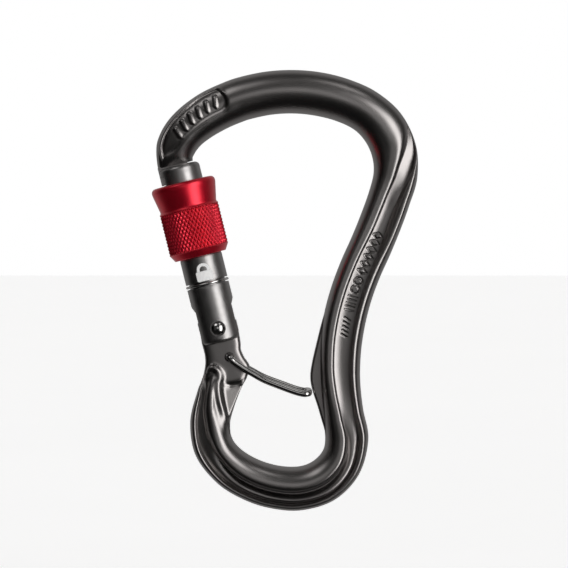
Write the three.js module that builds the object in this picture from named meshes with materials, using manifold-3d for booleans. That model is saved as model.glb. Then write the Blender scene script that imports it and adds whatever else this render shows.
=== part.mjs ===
// Locking (screw-gate) carabiner, HMS / pear shape, standing upright in the XZ plane.
// Units: millimetres, +Z up. X runs from the gate side (-) to the spine (+), Y is the bar's thickness.
// Origin: the rope seat, the lowest point of the inside of the top bow, on the mid plane.
// Pieces: frame, gate_barrel, hinge_rivet, gate_spring, spring_plunger, locking_sleeve, sleeve_stop_ring, wire_keeper.
import * as THREE from "three";
import { mergeVertices } from "three/addons/utils/BufferGeometryUtils.js";
import Module from "manifold-3d";

// ---------------------------------------------------------------- driving dimensions
const PIVOT = [-19.773, -58.313]; // X, Z of the gate rivet
const TILT = 13.9; // degrees the closed gate leans towards -X
const CHEEK_HALF = 2.8; // half thickness of the hinge lug and the flat cheek round it
const BARREL_R = 5.8; // lower part of the gate barrel
const BARREL_TOP_R = 5.7; // threaded and upper part
const BARREL_TOP = 45.5; // along the gate axis, from the rivet
const BARREL_BOTTOM = -3.85;
const SLOT_HALF = 3.04; // the clevis slot that takes the lug
const RIVET_R = 1.45;
const RIVET_HEAD_R = 1.8;
const LUG_BORE_R = 1.75;
const BORE_R = 2.6; // blind spring bore
const BORE_END = 22;
const RING_POS = 12.5; // sleeve stop ring
const RING_WIRE_R = 0.36;
const RING_R = 5.62;
const SLEEVE_BORE_R = 5.98;
const SLEEVE_BOTTOM = 20.15;
const SLEEVE_TOP = 40.7;
const NOSE_FACE = 45.85; // shoulder of the nose, along the gate axis
const TONGUE_R0 = 41.45; // radii of the keylock tongue about the rivet
const TONGUE_NECK_R = 43.3;
const TONGUE_NECK_HALF = 2.1;
const TONGUE_HEAD_HALF = 3.4;
const TONGUE_END = 2.6; // where the tongue ends on the inner side
const PLAY = 0.3; // clearance round the tongue
const KEEPER = [-16.723, -66.156]; // X, Z of the keeper's eyes
const KEEPER_WIRE_R = 0.8;
const KEEPER_LEG_Y = 4.0; // mid line of each leg
const POCKET_R = 8.3; // relief milled for the keeper's swing
const FIN_HALF = 2.1; // half thickness of the keeper's landing fin

// Outer and inner edge of the bar, from the nose round the spine to the hinge: [outer X, outer Z, inner X, inner Z].
const RAIL = [
  [-36.18, -15.14, -26.71, -12.8],
  [-36.45, -13.43, -26.74, -11.97],
  [-36.66, -10.98, -26.36, -11.13],
  [-36.56, -8.52, -25.79, -10.17],
  [-35.94, -6.35, -24.82, -8.97],
  [-34.76, -3.89, -23.67, -7.9],
  [-32.94, -1.31, -22.33, -6.91],
  [-30.45, 1.25, -20.62, -5.8],
  [-27.56, 3.56, -18.57, -4.65],
  [-24.1, 5.79, -16.24, -3.49],
  [-19.82, 7.8, -13.72, -2.46],
  [-14.72, 9.7, -10.9, -1.5],
  [-7.07, 11.35, -5.37, -0.34],
  [0.66, 11.82, 0.44, 0.0],
  [8.36, 11.14, 6.3, -0.55],
  [15.89, 9.21, 12.07, -1.98],
  [23.34, 5.77, 16.96, -4.26],
  [30.0, -0.14, 20.08, -7.43],
  [33.93, -8.51, 22.0, -11.53],
  [34.36, -17.47, 22.46, -16.04],
  [32.09, -25.24, 21.16, -21.37],
  [29.72, -31.77, 18.89, -27.7],
  [27.01, -38.36, 16.45, -33.69],
  [24.24, -44.53, 13.63, -40.0],
  [22.06, -50.41, 11.05, -46.87],
  [20.41, -56.55, 9.13, -53.84],
  [19.29, -63.04, 7.99, -60.85],
  [18.85, -69.16, 7.76, -68.28],
  [18.97, -74.41, 8.12, -76.0],
  [19.68, -80.52, 8.84, -83.36],
  [21.1, -88.74, 9.3, -88.85],
  [18.57, -98.24, 8.42, -92.23],
  [11.95, -105.21, 5.54, -94.96],
  [2.97, -108.08, 1.77, -96.17],
  [-5.67, -107.52, -3.32, -95.94],
  [-13.33, -104.97, -8.63, -94.39],
  [-20.29, -100.54, -13.2, -91.78],
  [-26.06, -93.04, -15.93, -88.66],
  [-27.48, -83.85, -16.63, -84.58],
  [-25.56, -75.7, -15.37, -79.55],
  [-24.7, -73.46, -13.45, -74.54],
  [-23.89, -71.14, -12.01, -71.85],
  [-23.37, -68.44, -11.28, -68.8],
  [-23.4, -66.29, -12.75, -66.32],
  [-23.75, -64.49, -13.65, -64.2],
  [-24.24, -62.72, -13.73, -62.45],
];

// Section of the bar at some of the stations above. t runs from the inner edge (0) to the outer edge (1).
// crest: t of the inner bead's crest, end: where the bead ends, rib: where the outer rib starts, top: its crest,
// hb, hw, ho: half thickness of bead, web floor and outer rib, wc: crown of the web, p: squareness of the bead's inner side,
// q: squareness of the outer side
const SECTION = [
  //  station crest end   rib   top    hb    hw   wc   ho   p  q
  [0, 0.5, 1.0, 0.85, 0.93, 5.2, 2.0, 0, 1.5, 2, 2],
  [4, 0.5, 1.0, 0.85, 0.93, 5.5, 2.0, 0, 1.5, 2, 2],
  [8, 0.5, 1.0, 0.85, 0.93, 5.85, 2.0, 0, 1.5, 2, 2],
  [16, 0.5, 1.0, 0.85, 0.93, 5.9, 2.0, 0, 1.8, 2, 2],
  [17, 0.5, 0.98, 0.86, 0.94, 5.9, 2.0, 0, 2.2, 2, 2],
  [18, 0.5, 0.83, 0.86, 0.95, 5.7, 2.0, 0, 3.0, 2, 2],
  [19, 0.4, 0.54, 0.79, 0.92, 5.4, 2.0, 0, 4.0, 2, 2],
  [20, 0.33, 0.44, 0.72, 0.88, 5.2, 2.0, 0, 4.5, 2, 2],
  [22, 0.26, 0.39, 0.71, 0.87, 5.1, 2.0, 0, 4.6, 2, 2],
  [27, 0.25, 0.4, 0.7, 0.85, 5.1, 2.0, 0, 4.6, 2, 2],
  [28, 0.28, 0.42, 0.69, 0.86, 5.2, 2.0, 0, 4.6, 2, 2],
  [29, 0.36, 0.48, 0.7, 0.87, 5.3, 2.0, 0, 4.5, 2, 2],
  [30, 0.42, 0.57, 0.76, 0.89, 5.5, 2.3, 0.2, 4.2, 2, 2],
  [31, 0.4, 0.6, 0.81, 0.89, 5.7, 2.7, 0.5, 3.8, 2, 2],
  [33, 0.38, 0.6, 0.83, 0.89, 5.8, 2.8, 0.7, 3.7, 2, 2],
  [37, 0.38, 0.58, 0.83, 0.89, 5.6, 2.8, 0.6, 3.6, 2, 2],
  [38, 0.44, 0.6, 0.84, 0.9, 5.3, 2.7, 0.3, 3.3, 2.3, 2],
  [39, 0.6, 0.74, 0.86, 0.92, 4.7, 2.6, 0, 3.0, 3, 2.4],
  [40, 0.68, 0.8, 0.88, 0.94, 4.2, 2.6, 0, 2.7, 4, 3],
  [41, 0.66, 0.82, 0.9, 0.95, 3.4, 2.6, 0, 2.6, 6, 5],
  [42, 0.5, 0.86, 0.92, 0.96, CHEEK_HALF, 2.6, 0, 2.5, 8, 8],
  [45, 0.5, 0.86, 0.92, 0.96, CHEEK_HALF, 2.6, 0, 2.5, 8, 8],
];
const STEP = 2.8; // length of one step of the loft along the bar

// Half outline of the flat lug above the cheek, in the gate's own axes (u across, v along), top first.
const LUG = [
  [-5.25, 2.45],
  [-4.6, 2.9],
  [-2.5, 3.0],
  [2.5, 2.9],
  [4.9, 1.5],
  [5.3, 0.9],
  [5.3, -3.6],
  [4.2, -7.5],
  [-4.6, -7.5],
  [-5.2, -3.6],
];
// Landing fin on the inside of the spine, X and Z.
const FIN = [
  [10.62, -52.4],
  [9.26, -54.01],
  [8.23, -57.28],
  [7.41, -60.54],
  [6.62, -63.81],
  [5.86, -67.08],
  [5.31, -70.35],
  [5.26, -71.98],
  [5.42, -73.62],
  [6.13, -76.34],
  [7.22, -79.61],
  [8.17, -82.88],
  [9.12, -86.15],
  [9.53, -88.87],
  [11.5, -88.87],
  [11.9, -70],
  [12.2, -56],
];
// Mid line of one keeper leg from the eye to the tip, X and Z.
const KEEPER_LINE = [
  [-15.39, -67.49],
  [-12.99, -69.1],
  [-10.59, -70.49],
  [-7.38, -72.29],
  [-3.38, -73.89],
  [1.01, -75.5],
  [3.4, -76.1],
  [4.9, -76.05],
];

// ---------------------------------------------------------------- helpers
const wasm = await Module();
wasm.setup();

function solid(geometry) {
  const g = geometry.index ? geometry.toNonIndexed() : geometry.clone();
  for (const name of Object.keys(g.attributes)) if (name !== "position") g.deleteAttribute(name);
  const m = mergeVertices(g, 1e-4);
  const made = new wasm.Manifold(
    new wasm.Mesh({
      numProp: 3,
      vertProperties: new Float32Array(m.attributes.position.array),
      triVerts: new Uint32Array(m.index.array),
    }),
  );
  return made;
}
function shell(manifold) {
  const mesh = manifold.getMesh();
  const g = new THREE.BufferGeometry();
  g.setAttribute("position", new THREE.BufferAttribute(new Float32Array(mesh.vertProperties), 3));
  g.setIndex(new THREE.BufferAttribute(new Uint32Array(mesh.triVerts), 1));
  g.computeVertexNormals();
  return g;
}
const rad = (d) => (d * Math.PI) / 180;

// A profile of [radius, height] points turned about +Z.
function lathe(points, segments) {
  const g = new THREE.LatheGeometry(points.map(([r, z]) => new THREE.Vector2(r, z)), segments);
  g.rotateX(Math.PI / 2);
  return g;
}
// A polygon of [x, z] points given thickness from -half to +half in Y.
function slab(points, half, bevel = 0) {
  const shape = new THREE.Shape(points.map(([x, z]) => new THREE.Vector2(x, z)));
  const g = new THREE.ExtrudeGeometry(shape, {
    depth: 2 * half - 2 * bevel,
    bevelEnabled: bevel > 0,
    bevelThickness: bevel,
    bevelSize: bevel,
    bevelOffset: -bevel,
    bevelSegments: 1,
  });
  g.translate(0, 0, bevel - half);
  g.rotateX(Math.PI / 2);
  return g;
}
// A round bar along Y.
function barY(x, z, r, y0, y1, segments = 24) {
  const g = new THREE.CylinderGeometry(r, r, y1 - y0, segments);
  g.translate(x, (y0 + y1) / 2, z);
  return g;
}
function wire(curve, r, sides, steps) {
  const ring = new THREE.Shape();
  for (let i = 0; i < sides; i++) {
    const a = (2 * Math.PI * (i + 0.5)) / sides;
    if (i) ring.lineTo(r * Math.cos(a), r * Math.sin(a));
    else ring.moveTo(r * Math.cos(a), r * Math.sin(a));
  }
  return new THREE.ExtrudeGeometry(ring, { steps, extrudePath: curve, bevelEnabled: false });
}
// The closed gate's frame: the origin on the rivet, +Z along the barrel.
const GATE = new THREE.Matrix4()
  .makeTranslation(PIVOT[0], 0, PIVOT[1])
  .multiply(new THREE.Matrix4().makeRotationY(rad(-TILT)));
const onGate = (g) => g.applyMatrix4(GATE);
// Points [u, v] on a circle about the rivet, from u0 to u1.
function arcPoints(r, u0, u1, n) {
  const out = [];
  for (let i = 0; i <= n; i++) {
    const u = u0 + ((u1 - u0) * i) / n;
    out.push([u, Math.sqrt(r * r - u * u)]);
  }
  return out;
}

// ---------------------------------------------------------------- frame
function keyed(station) {
  let i = 0;
  while (i < SECTION.length - 2 && SECTION[i + 1][0] < station) i++;
  const a = SECTION[i];
  const b = SECTION[i + 1];
  let f = (station - a[0]) / (b[0] - a[0]);
  f = Math.min(Math.max(f, 0), 1);
  return a.map((v, j) => v + (b[j] - v) * f);
}
function halfThickness(t, s) {
  const [, crest, end, rib, top, hb, hw, wc, ho, p, q] = s;
  if (t <= 0 || t >= 1) return 0;
  let bead = 0;
  if (t <= crest) bead = hb * Math.pow(1 - Math.pow((crest - t) / crest, p), 1 / p);
  else if (t < end) {
    const e = end > 0.97 ? q : 2.6;
    bead = hb * Math.pow(Math.max(0, 1 - Math.pow((t - crest) / (end - crest), e)), 1 / e);
  }
  let web = 0;
  if (t > crest && t <= top) {
    const m = (end + rib) / 2;
    const w = Math.max(0.02, (rib - end) / 2);
    web = hw + wc * Math.max(0, 1 - ((t - m) / w) ** 2);
    if (end > rib) web = Math.min(web, hw);
  }
  let outer = 0;
  if (t > top) outer = ho * Math.pow(1 - Math.pow((t - top) / (1 - top), 2), 0.5);
  else if (t > rib) outer = ho * Math.pow(1 - Math.pow((top - t) / (top - rib), 2.6), 1 / 2.6);
  return Math.max(bead, web, outer);
}
function samples(s) {
  const [, crest, end, rib, top] = s;
  const e = end < rib - 0.02 ? end : rib - 0.05;
  return [
    0,
    0.06 * crest,
    0.25 * crest,
    0.6 * crest,
    crest,
    crest + 0.72 * (e - crest),
    e,
    rib,
    (rib + top) / 2,
    top,
    top + 0.6 * (1 - top),
    top + 0.92 * (1 - top),
    1,
  ];
}
function loft() {
  const outer = new THREE.CatmullRomCurve3(RAIL.map((r) => new THREE.Vector3(r[0], 0, r[1])), false, "catmullrom", 0.5);
  const inner = new THREE.CatmullRomCurve3(RAIL.map((r) => new THREE.Vector3(r[2], 0, r[3])), false, "catmullrom", 0.5);
  const spans = RAIL.length - 1;
  const places = [0];
  for (let i = 0; i < spans; i++) {
    const a = outer.getPoint(i / spans).add(inner.getPoint(i / spans)).multiplyScalar(0.5);
    const b = outer.getPoint((i + 1) / spans).add(inner.getPoint((i + 1) / spans)).multiplyScalar(0.5);
    const n = Math.max(1, Math.round(a.distanceTo(b) / STEP));
    for (let j = 1; j <= n; j++) places.push(i + j / n);
  }
  const position = [];
  let around = 0;
  for (const place of places) {
    const o = outer.getPoint(place / spans);
    const n = inner.getPoint(place / spans);
    const s = keyed(place);
    const ts = samples(s);
    const side = (t, sign) =>
      position.push(n.x + (o.x - n.x) * t, sign * halfThickness(t, s), n.z + (o.z - n.z) * t);
    for (const t of ts) side(t, -1); // front, inner edge to outer edge
    for (const t of ts.slice(1, -1).reverse()) side(t, 1); // back, outer edge to inner edge
    around = 2 * ts.length - 2;
  }
  const index = [];
  for (let i = 0; i < places.length - 1; i++)
    for (let j = 0; j < around; j++) {
      const a = i * around + j;
      const b = i * around + ((j + 1) % around);
      index.push(a, a + around, b, b, a + around, b + around);
    }
  const last = (places.length - 1) * around;
  // end caps: strips between the front and back rows
  for (const [base, flip] of [
    [0, false],
    [last, true],
  ]) {
    const m = around / 2;
    const tri = (a, b, c) => (flip ? index.push(base + a, base + c, base + b) : index.push(base + a, base + b, base + c));
    for (let j = 0; j < m; j++) {
      const f0 = j;
      const f1 = j + 1;
      const b0 = (around - j) % around;
      const b1 = around - j - 1;
      if (j === 0) tri(f0, f1, b1);
      else if (j === m - 1) tri(f0, f1, b0);
      else {
        tri(f0, f1, b1);
        tri(f0, b1, b0);
      }
    }
  }
  const g = new THREE.BufferGeometry();
  g.setAttribute("position", new THREE.Float32BufferAttribute(position, 3));
  g.setIndex(index);
  return g;
}

function frameGeometry() {
  let body = solid(loft());
  if (body.volume() < 0) throw new Error("the loft is inside out");
  // hinge lug
  body = body.add(solid(onGate(slab(LUG, CHEEK_HALF, 0.5))));
  // keeper's landing fin
  body = body.add(solid(slab(FIN, FIN_HALF, 0.5)));
  // keylock tongue: a neck and a wider head, turned to the barrel's outline
  const neck = [
    ...arcPoints(TONGUE_R0 + 0.6, -7, TONGUE_END, 4),
    [TONGUE_END, NOSE_FACE + 0.25],
    [-7, NOSE_FACE + 0.25],
  ];
  const head = [...arcPoints(TONGUE_R0, -7, TONGUE_END, 4), ...arcPoints(TONGUE_NECK_R, TONGUE_END, -7, 4)];
  const round = solid(lathe([[0, 38], [BARREL_TOP_R - 0.05, 38], [BARREL_TOP_R - 0.05, 47], [0, 47]], 48));
  const tongue = solid(slab(neck, TONGUE_NECK_HALF)).add(solid(slab(head, TONGUE_HEAD_HALF))).intersect(round);
  body = body.add(solid(onGate(shell(tongue).toNonIndexed())));
  // relief for the keeper's swing, on both sides
  for (const side of [-1, 1]) {
    const y0 = side < 0 ? -9 : CHEEK_HALF;
    const y1 = side < 0 ? -CHEEK_HALF : 9;
    body = body.subtract(solid(barY(KEEPER[0], KEEPER[1], POCKET_R, y0, y1, 40)));
  }
  body = body.subtract(solid(barY(PIVOT[0], PIVOT[1], LUG_BORE_R, -8, 8, 24)));
  body = body.subtract(solid(barY(KEEPER[0], KEEPER[1], KEEPER_WIRE_R + 0.3, -8, 8, 16)));
  return shell(body);
}

// ---------------------------------------------------------------- gate barrel
function barrelGeometry() {
  const R = BARREL_R;
  const T = BARREL_TOP_R;
  const profile = [
    [0, BORE_END],
    [BORE_R, BORE_END - 0.8],
    [BORE_R, BARREL_BOTTOM],
    [R - 0.9, BARREL_BOTTOM],
    [R, BARREL_BOTTOM + 1.0],
    [R, RING_POS - 0.65],
    [4.95, RING_POS - 0.65],
    [4.95, RING_POS + 0.65],
    [R, RING_POS + 0.65],
    [R, 19.7],
    [T, 20.0],
    [T, BARREL_TOP - 1.3],
    [T - 0.38, BARREL_TOP - 0.38],
    [T - 1.3, BARREL_TOP],
    [0, BARREL_TOP],
  ];
  let body = solid(lathe(profile, 48));
  // clevis slot, its roots swept out to the sides
  body = body.subtract(
    solid(
      slab(
        [
          [-7, -7],
          [7, -7],
          [7, 9.6],
          [5.75, 7.0],
          [5.2, 6.0],
          [4.8, 5.2],
          [-4.8, 5.2],
          [-5.2, 6.0],
          [-5.75, 7.0],
          [-7, 9.6],
        ],
        SLOT_HALF,
      ),
    ),
  );
  // T slot for the nose's tongue, open at the top and towards the outside of the loop
  const end = TONGUE_END + PLAY;
  const neck = [...arcPoints(TONGUE_R0 - PLAY, -8, end, 5), [end, 48], [-8, 48]];
  const head = [
    ...arcPoints(TONGUE_R0 - PLAY, -8, end, 5),
    ...arcPoints(TONGUE_NECK_R + PLAY, end, -8, 5),
  ];
  body = body.subtract(solid(slab(neck, TONGUE_NECK_HALF + PLAY)));
  body = body.subtract(solid(slab(head, TONGUE_HEAD_HALF + PLAY)));
  // rivet hole and its countersinks
  body = body.subtract(solid(barY(0, 0, RIVET_R + 0.25, -8, 8, 24)));
  body = body.subtract(solid(barY(0, 0, RIVET_HEAD_R + 0.3, -8, -4.85, 24)));
  body = body.subtract(solid(barY(0, 0, RIVET_HEAD_R + 0.3, 4.85, 8, 24)));
  return shell(body);
}

function rivetGeometry() {
  const h = RIVET_HEAD_R;
  const half = [
    [RIVET_R, 5.15],
    [h, 5.15],
    [h, 5.6],
    [h * 0.86, 5.95],
    [h * 0.5, 6.22],
    [0, 6.3],
  ];
  const profile = [...half.map(([r, z]) => [r, -z]).reverse(), ...half];
  const g = lathe(profile, 20);
  g.rotateX(Math.PI / 2);
  return g;
}

// ---------------------------------------------------------------- spring and plunger
const SPRING_Z0 = 10.1;
const SPRING_Z1 = 20.7;
class Helix extends THREE.Curve {
  getPoint(t, target = new THREE.Vector3()) {
    const a = 2 * Math.PI * 8 * t;
    return target.set(1.8 * Math.cos(a), 1.8 * Math.sin(a), SPRING_Z0 + (SPRING_Z1 - SPRING_Z0) * t);
  }
}
const plungerProfile = [
  [0, 3.3],
  [1.3, 3.3],
  [2.3, 4.0],
  [2.3, 9.4],
  [0, 9.4],
];

// ---------------------------------------------------------------- sleeve
const sleeveProfile = [
  [SLEEVE_BORE_R, SLEEVE_BOTTOM],
  [7.05, SLEEVE_BOTTOM],
  [8.1, 21.9],
  [8.1, 33.4],
  [7.82, 33.75],
  [7.82, 34.1],
  [8.78, 38.9],
  [8.82, 39.3],
  [8.62, 39.95],
  [8.1, 40.45],
  [7.3, SLEEVE_TOP],
  [6.5, SLEEVE_TOP],
  [SLEEVE_BORE_R, SLEEVE_TOP - 0.5],
  [SLEEVE_BORE_R, SLEEVE_BOTTOM],
];

// ---------------------------------------------------------------- stop ring and keeper
class RingLine extends THREE.Curve {
  getPoint(t, target = new THREE.Vector3()) {
    const a = Math.PI / 2 + rad(14) + t * rad(332); // the gap faces the back
    return target.set(RING_R * Math.cos(a), RING_R * Math.sin(a), RING_POS);
  }
}
function keeperGeometry() {
  const [kx, kz] = KEEPER;
  const side = (y) => [
    [0, y * 0.42, 0],
    [0, y * 0.72, 0],
    [0.12, y * 0.92, -0.12],
    [0.5, y, -0.5],
    ...KEEPER_LINE.slice(0, -1).map(([x, z]) => [x - kx, y, z - kz]),
  ];
  const tip = KEEPER_LINE[KEEPER_LINE.length - 1];
  const tx = tip[0] - kx;
  const tz = tip[1] - kz;
  const y = KEEPER_LEG_Y;
  const points = [
    ...side(-y),
    [tx - 0.25, -y * 0.86, tz],
    [tx, -y * 0.6, tz + 0.08],
    [tx, y * 0.6, tz + 0.08],
    [tx - 0.25, y * 0.86, tz],
    ...side(y).reverse(),
  ].map(([a, b, c]) => new THREE.Vector3(a, b, c));
  return wire(new THREE.CatmullRomCurve3(points, false, "centripetal"), KEEPER_WIRE_R, 8, 84);
}

// ---------------------------------------------------------------- materials and scene graph
const gunmetal = { color: 0x3b3a3b, roughness: 0.34, metalness: 1.0 };
const steel = { color: 0xa8a7a6, roughness: 0.22, metalness: 1.0 };
const piece = (name, geometry, look) => {
  const mesh = new THREE.Mesh(geometry, new THREE.MeshStandardMaterial(look));
  mesh.name = name;
  return mesh;
};

const carabiner = new THREE.Group();
carabiner.add(piece("frame", frameGeometry(), gunmetal));

const gate = new THREE.Group();
gate.position.set(PIVOT[0], 0, PIVOT[1]);
gate.rotation.y = rad(-TILT);
gate.add(piece("gate_barrel", barrelGeometry(), gunmetal));
gate.add(piece("hinge_rivet", rivetGeometry(), steel));
gate.add(piece("gate_spring", wire(new Helix(), 0.3, 6, 104), { ...steel, roughness: 0.35 }));
gate.add(piece("spring_plunger", lathe(plungerProfile, 20), { ...steel, roughness: 0.3 }));
gate.add(piece("locking_sleeve", lathe(sleeveProfile, 48), { color: 0xb0081f, roughness: 0.3, metalness: 1.0 }));
gate.add(piece("sleeve_stop_ring", wire(new RingLine(), RING_WIRE_R, 6, 40), steel));
carabiner.add(gate);

const keeper = new THREE.Group();
keeper.position.set(KEEPER[0], 0, KEEPER[1]);
keeper.add(piece("wire_keeper", keeperGeometry(), { ...steel, color: 0x77767a }));
carabiner.add(keeper);

export default carabiner;
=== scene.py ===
import math

import bpy
import numpy as np
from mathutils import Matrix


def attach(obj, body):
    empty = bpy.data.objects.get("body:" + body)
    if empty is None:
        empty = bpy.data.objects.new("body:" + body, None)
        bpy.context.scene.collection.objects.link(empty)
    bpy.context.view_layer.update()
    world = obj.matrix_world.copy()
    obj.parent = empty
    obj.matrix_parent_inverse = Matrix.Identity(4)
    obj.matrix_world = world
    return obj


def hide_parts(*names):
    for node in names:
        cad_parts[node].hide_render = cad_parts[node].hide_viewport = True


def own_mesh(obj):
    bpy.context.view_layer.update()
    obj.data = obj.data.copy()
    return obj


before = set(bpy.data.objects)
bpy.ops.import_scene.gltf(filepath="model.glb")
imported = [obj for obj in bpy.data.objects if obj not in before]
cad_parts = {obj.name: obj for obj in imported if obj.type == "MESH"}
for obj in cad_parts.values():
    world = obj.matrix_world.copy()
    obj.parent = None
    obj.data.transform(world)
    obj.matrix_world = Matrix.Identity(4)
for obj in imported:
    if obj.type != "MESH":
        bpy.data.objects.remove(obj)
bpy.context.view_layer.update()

MM = 0.001

# ------------------------------------------------------------------ sizes, the same as the CAD's
PIVOT = (-19.773, -58.313)
TILT = math.radians(13.9)
CHEEK = 2.8
R_LOW, R_TOP = 5.8, 5.7
BARREL_TOP, BARREL_BOTTOM = 45.5, -3.85
SLOT_HALF = 3.04
BORE_R, BORE_END = 2.6, 22.0
RING_POS, RING_WIRE, RING_R = 12.5, 0.36, 5.62
SLEEVE_BORE, SLEEVE_BOTTOM, SLEEVE_TOP = 5.98, 20.15, 40.7
NOSE_FACE = 45.85
TONGUE_R0, TONGUE_NECK_R, TONGUE_NECK_HALF, TONGUE_HEAD_HALF, TONGUE_END, PLAY = 41.45, 43.3, 2.1, 3.4, 2.6, 0.3
KEEPER = (-16.723, -66.156)
KEEPER_WIRE, KEEPER_LEG_Y = 0.8, 4.0
POCKET_R = 8.3
FIN_HALF = 2.1

RAIL = np.array([
    [-36.18, -15.14, -26.71, -12.8], [-36.45, -13.43, -26.74, -11.97], [-36.66, -10.98, -26.36, -11.13],
    [-36.56, -8.52, -25.79, -10.17], [-35.94, -6.35, -24.82, -8.97], [-34.76, -3.89, -23.67, -7.9],
    [-32.94, -1.31, -22.33, -6.91], [-30.45, 1.25, -20.62, -5.8], [-27.56, 3.56, -18.57, -4.65],
    [-24.1, 5.79, -16.24, -3.49], [-19.82, 7.8, -13.72, -2.46], [-14.72, 9.7, -10.9, -1.5],
    [-7.07, 11.35, -5.37, -0.34], [0.66, 11.82, 0.44, 0.0], [8.36, 11.14, 6.3, -0.55],
    [15.89, 9.21, 12.07, -1.98], [23.34, 5.77, 16.96, -4.26], [30.0, -0.14, 20.08, -7.43],
    [33.93, -8.51, 22.0, -11.53], [34.36, -17.47, 22.46, -16.04], [32.09, -25.24, 21.16, -21.37],
    [29.72, -31.77, 18.89, -27.7], [27.01, -38.36, 16.45, -33.69], [24.24, -44.53, 13.63, -40.0],
    [22.06, -50.41, 11.05, -46.87], [20.41, -56.55, 9.13, -53.84], [19.29, -63.04, 7.99, -60.85],
    [18.85, -69.16, 7.76, -68.28], [18.97, -74.41, 8.12, -76.0], [19.68, -80.52, 8.84, -83.36],
    [21.1, -88.74, 9.3, -88.85], [18.57, -98.24, 8.42, -92.23], [11.95, -105.21, 5.54, -94.96],
    [2.97, -108.08, 1.77, -96.17], [-5.67, -107.52, -3.32, -95.94], [-13.33, -104.97, -8.63, -94.39],
    [-20.29, -100.54, -13.2, -91.78], [-26.06, -93.04, -15.93, -88.66], [-27.48, -83.85, -16.63, -84.58],
    [-25.56, -75.7, -15.37, -79.55], [-24.7, -73.46, -13.45, -74.54], [-23.89, -71.14, -12.01, -71.85],
    [-23.37, -68.44, -11.28, -68.8], [-23.4, -66.29, -12.75, -66.32], [-23.75, -64.49, -13.65, -64.2],
    [-24.24, -62.72, -13.73, -62.45], [-24.629, -60.545, -14.388, -58.5], [-25.109, -58.603, -14.917, -56.4],
])
SPANS = len(RAIL) - 1
# station, crest, bead end, rib start, rib top, bead h, web h, web crown, rib h, inner squareness, outer squareness, web slope
SECTION = np.array([
    [0, .5, 1.0, .85, .93, 3.2, 2.0, 0, 1.2, 2, 2, 0],
    [1, .5, 1.0, .85, .93, 3.7, 2.0, 0, 1.3, 2, 2, 0],
    [2, .5, 1.0, .85, .93, 4.2, 2.0, 0, 1.4, 2, 2, 0],
    [3.2, .5, 1.0, .85, .93, 4.75, 2.0, 0, 1.5, 2, 2, 0],
    [5, .5, 1.0, .85, .93, 5.35, 2.0, 0, 1.5, 2, 2, 0],
    [8, .5, 1.0, .85, .93, 5.8, 2.0, 0, 1.5, 2, 2, 0],
    [16, .5, 1.0, .87, .94, 5.9, 1.5, 0, 1.6, 2, 2, 0],
    [17.25, .5, .995, .95, .975, 5.9, 1.5, 0, 1.4, 2, 2, 0],
    [17.55, .5, .95, .965, .985, 5.87, 1.6, 0, 1.5, 2, 2.2, .1],
    [17.8, .49, .86, .955, .975, 5.8, 1.9, 0, 2.2, 2, 2.6, .25],
    [18.27, .42, .685, .935, .97, 5.65, 2.1, 0, 3.0, 2, 3.4, .36],
    [18.71, .35, .568, .875, .92, 5.5, 2.1, 0, 3.9, 2, 4, .36],
    [19.29, .30, .495, .735, .86, 5.3, 2.0, -.05, 4.4, 2, 4, .22],
    [19.83, .27, .455, .69, .86, 5.2, 1.9, -.12, 4.6, 2, 4.5, .1],
    [20.4, .25, .435, .67, .86, 5.15, 1.8, -.2, 4.7, 2, 4.5, .06],
    [21.3, .23, .415, .68, .855, 5.1, 1.8, -.24, 4.7, 2, 5, .05],
    [22.5, .21, .375, .72, .815, 5.1, 1.8, -.28, 4.6, 2, 5, .05],
    [27, .21, .365, .73, .81, 5.1, 1.8, -.28, 4.6, 2, 5, .08],
    [28, .25, .40, .725, .82, 5.2, 1.8, -.24, 4.6, 2, 5, .1],
    [29, .33, .47, .735, .84, 5.3, 1.8, -.05, 4.5, 2, 4, .1],
    [30, .37, .52, .77, .86, 5.5, 1.75, .35, 4.2, 2, 3.4, .08],
    [31, .40, .56, .805, .88, 5.7, 1.7, .95, 3.9, 2, 3, .03],
    [32, .41, .58, .83, .89, 5.75, 1.6, 1.6, 3.7, 2, 3, 0],
    [33, .41, .585, .835, .895, 5.8, 1.6, 1.9, 3.7, 2, 3, 0],
    [35, .41, .575, .835, .895, 5.7, 1.7, 1.7, 3.7, 2, 3, 0],
    [36, .38, .55, .82, .89, 5.65, 1.9, .8, 3.6, 2, 2.8, .1],
    [37, .36, .53, .79, .88, 5.5, 2.1, .1, 3.4, 2, 2.5, .26],
    [38, .42, .60, .80, .885, 4.9, 2.2, -.1, 3.3, 2.6, 2.4, .3],
    [38.6, .48, .68, .84, .91, 4.3, 2.3, -.1, 3.1, 3.4, 2.4, .26],
    [39.3, .53, .79, .90, .94, 3.8, 2.4, 0, 2.8, 4.5, 2.8, .15],
    [40.3, .55, .90, .94, .965, 3.3, 2.3, 0, 2.4, 5, 3.4, 0],
    [41, .54, .97, .965, .98, 2.95, 1.8, 0, 2.0, 5, 3.8, 0],
    [41.6, .5, 1.0, .93, .965, CHEEK, 1.3, 0, 1.4, 5, 4.5, 0],
    [47, .5, 1.0, .93, .965, CHEEK, 1.3, 0, 1.4, 5, 4.5, 0],
])
LUG = [(-5.2, 2.45), (-4.6, 2.9), (-2.5, 3.0), (2.5, 2.9), (4.8, 1.5), (5.2, .9), (5.2, -2.0), (-5.15, -2.0)]
FIN = [(10.62, -52.4), (9.26, -54.01), (8.23, -57.28), (7.41, -60.54), (6.62, -63.81), (5.86, -67.08), (5.31, -70.35),
       (5.26, -71.98), (5.42, -73.62), (6.13, -76.34), (7.22, -79.61), (8.17, -82.88), (9.12, -86.15), (9.53, -88.87),
       (11.5, -88.87), (11.9, -70), (12.2, -56)]
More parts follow.
